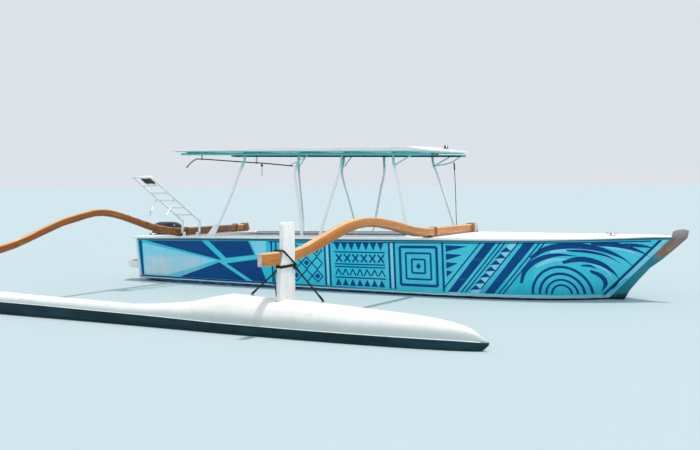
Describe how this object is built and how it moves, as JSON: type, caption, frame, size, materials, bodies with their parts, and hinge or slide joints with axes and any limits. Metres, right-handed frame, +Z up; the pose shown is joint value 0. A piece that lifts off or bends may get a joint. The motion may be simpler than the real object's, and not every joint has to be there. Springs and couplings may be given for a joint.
{
  "type": "outrigger canoe",
  "caption": "Motorised lagoon canoe with a slim hull, an outrigger float on curved wooden booms, a roof on tube posts, and a boarding ladder.",
  "frame": {"origin": "on the waterline, amidships on the main hull's centre plane", "axes": "+X towards the bow, +Y to port, +Z up; the float lies to starboard at negative Y"},
  "size_m": [8.952, 6.26, 2.6553],
  "materials": {
    "hull_shell": "turquoise paint over laminate, satin",
    "transom_starboard": "white paint, satin",
    "transom_port": "white paint, satin",
    "motor_well": "white gelcoat",
    "motor_board": "white paint over ply",
    "deck_aft": "white paint, satin",
    "deck_fore": "white paint, satin",
    "side_deck_starboard": "white paint, satin",
    "side_deck_port": "white paint, satin",
    "stem": "painted and weathered timber",
    "keel": "painted timber",
    "bulkhead_aft": "painted ply",
    "bulkhead_fore": "painted ply",
    "floor": "painted ply",
    "bench_1": "painted ply",
    "bench_2": "painted ply",
    "bench_3": "painted ply",
    "bench_4": "painted ply",
    "boom_front": "varnished laminated timber",
    "boom_rear": "varnished laminated timber",
    "post_front": "white paint over timber",
    "post_rear": "white paint over timber",
    "stay_front_fore": "black braided rope",
    "stay_front_aft": "black braided rope",
    "stay_rear_aft": "black braided rope",
    "ama_top": "white paint, satin",
    "ama_bottom": "dark bottom paint",
    "roof": "white gelcoat",
    "roof_rail_starboard": "white powder coat",
    "roof_rail_port": "white powder coat",
    "roof_bearer_1": "white powder coat",
    "roof_bearer_2": "white powder coat",
    "roof_bearer_3": "white powder coat",
    "roof_bearer_4": "white powder coat",
    "roof_bearer_5": "white powder coat",
    "ladder": "white powder coat",
    "ladder_bracket_1": "white powder coat",
    "ladder_bracket_2": "white powder coat",
    "clamp_starboard": "cast, painted grey",
    "clamp_port": "cast, painted grey",
    "swivel": "cast, painted grey",
    "motor_leg": "dark paint, gloss",
    "motor_cowl": "dark, gloss",
    "propeller": "dark paint, gloss",
    "transom_step": "white gelcoat",
    "cleat_bow": "polished",
    "cleat_stern_starboard": "polished",
    "cleat_stern_port": "polished",
    "roof_lamp": "dark lens and base",
    "leg_1_starboard": "white powder coat",
    "leg_1_port": "white powder coat",
    "leg_2_starboard": "white powder coat",
    "leg_2_port": "white powder coat",
    "leg_3_starboard": "white powder coat",
    "leg_3_port": "white powder coat",
    "leg_4_starboard": "white powder coat",
    "leg_4_port": "white powder coat"
  },
  "bodies": {
    "hull": {"hull_shell": "hull_shell", "transom_starboard": "transom_starboard", "transom_port": "transom_port", "motor_well": "motor_well", "motor_board": "motor_board", "deck_aft": "deck_aft", "deck_fore": "deck_fore", "side_deck_starboard": "side_deck_starboard", "side_deck_port": "side_deck_port", "stem": "stem", "keel": "keel", "bulkhead_aft": "bulkhead_aft", "bulkhead_fore": "bulkhead_fore", "floor": "floor", "bench_1": "bench_1", "bench_2": "bench_2", "bench_3": "bench_3", "bench_4": "bench_4", "boom_front": "boom_front", "boom_rear": "boom_rear", "post_front": "post_front", "post_rear": "post_rear", "stay_front_fore": "stay_front_fore", "stay_front_aft": "stay_front_aft", "stay_rear_aft": "stay_rear_aft", "ama_top": "ama_top", "ama_bottom": "ama_bottom", "roof": "roof", "roof_rail_starboard": "roof_rail_starboard", "roof_rail_port": "roof_rail_port", "roof_bearer_1": "roof_bearer_1", "roof_bearer_2": "roof_bearer_2", "roof_bearer_3": "roof_bearer_3", "roof_bearer_4": "roof_bearer_4", "roof_bearer_5": "roof_bearer_5", "ladder_bracket_1": "ladder_bracket_1", "ladder_bracket_2": "ladder_bracket_2", "clamp_starboard": "clamp_starboard", "clamp_port": "clamp_port", "transom_step": "transom_step", "cleat_bow": "cleat_bow", "cleat_stern_starboard": "cleat_stern_starboard", "cleat_stern_port": "cleat_stern_port", "roof_lamp": "roof_lamp", "leg_1_starboard": "leg_1_starboard", "leg_1_port": "leg_1_port", "leg_2_starboard": "leg_2_starboard", "leg_2_port": "leg_2_port", "leg_3_starboard": "leg_3_starboard", "leg_3_port": "leg_3_port", "leg_4_starboard": "leg_4_starboard", "leg_4_port": "leg_4_port"},
    "ladder": {"ladder": "ladder"},
    "swivel": {"swivel": "swivel"},
    "motor": {"motor_leg": "motor_leg", "motor_cowl": "motor_cowl"},
    "propeller": {"propeller": "propeller"}
  },
  "joints": [
    {"name": "ladder_hinge", "type": "hinge", "parent": "hull", "child": "ladder", "pos_m": [-3.14, -0.885, 0.815], "axis": [1, 0, 0], "range_deg": [0, 113]},
    {"name": "motor_tilt", "type": "hinge", "parent": "hull", "child": "swivel", "pos_m": [-4.15, 0, 0.455], "axis": [0, 1, 0], "range_deg": [0, 60]},
    {"name": "motor_steer", "type": "hinge", "parent": "swivel", "child": "motor", "pos_m": [-4.275, 0, 0.3], "axis": [0, 0, 1], "range_deg": [-30, 30]},
    {"name": "propeller_spin", "type": "hinge", "parent": "motor", "child": "propeller", "pos_m": [-4.54, 0, -0.33], "axis": [1, 0, 0], "continuous": true}
  ]
}
